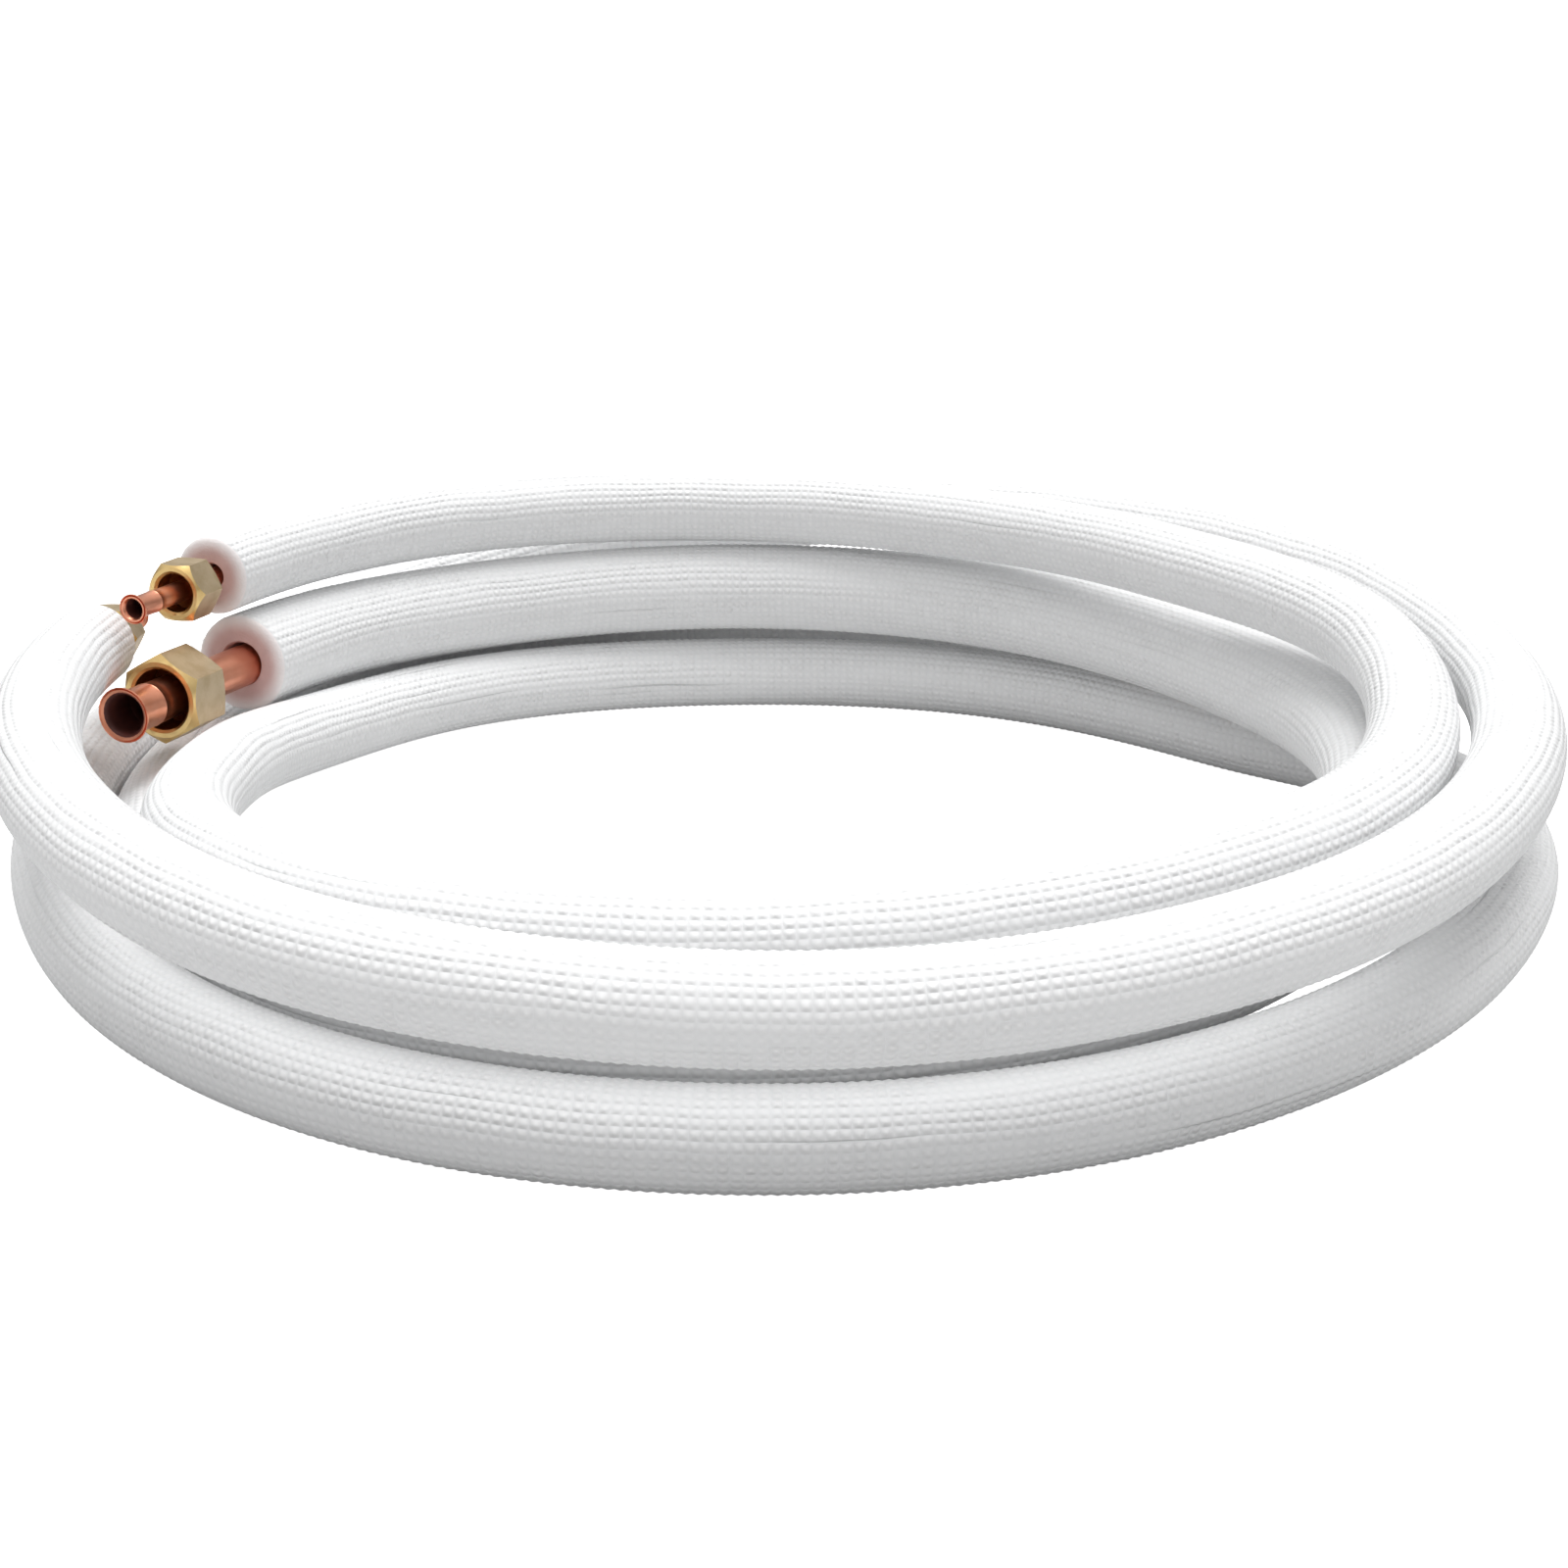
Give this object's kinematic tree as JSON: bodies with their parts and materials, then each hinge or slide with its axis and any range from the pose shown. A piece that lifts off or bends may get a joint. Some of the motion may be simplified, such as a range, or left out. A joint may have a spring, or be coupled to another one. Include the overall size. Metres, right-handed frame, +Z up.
{
  "type": "insulated copper line set",
  "caption": "Two copper refrigerant lines, small and large, in white foam sleeves with brass flare nuts, laid together in one flat coil.",
  "frame": {"origin": "on the floor under the middle of the coil's bounding box", "axes": "+Z up, square to the plane of the coil; -Y towards the picture's viewer, +X to the picture's right"},
  "size_m": [0.4436, 0.461, 0.0896],
  "materials": {
    "foam_skin": "white closed-cell foam with a fine embossed film skin",
    "copper": "soft annealed copper, satin",
    "nut_brass": "machined brass, satin"
  },
  "bodies": {
    "coil": {"insulation_small": "foam_skin", "copper_tube_small": "copper", "insulation_large": "foam_skin", "copper_tube_large": "copper"},
    "nut_small_near": {"flare_nut_small_near": "nut_brass"},
    "nut_small_far": {"flare_nut_small_far": "nut_brass"},
    "nut_large_near": {"flare_nut_large_near": "nut_brass"},
    "nut_large_far": {"flare_nut_large_far": "nut_brass"}
  },
  "joints": [
    {"name": "nut_small_near_slide", "type": "slide", "parent": "coil", "child": "nut_small_near", "axis": [-0.3805, -0.9245, 0.0233], "range_m": [-0.0076, 0.025]},
    {"name": "nut_small_far_slide", "type": "slide", "parent": "coil", "child": "nut_small_far", "axis": [0.0781, 0.9957, -0.0506], "range_m": [-0.0076, 0.03]},
    {"name": "nut_large_near_slide", "type": "slide", "parent": "coil", "child": "nut_large_near", "axis": [-0.3828, -0.9228, 0.0442], "range_m": [-0.0281, 0.004]},
    {"name": "nut_large_far_slide", "type": "slide", "parent": "coil", "child": "nut_large_far", "axis": [0.6663, -0.7454, 0.0196], "range_m": [-0.0281, 0.031]}
  ]
}
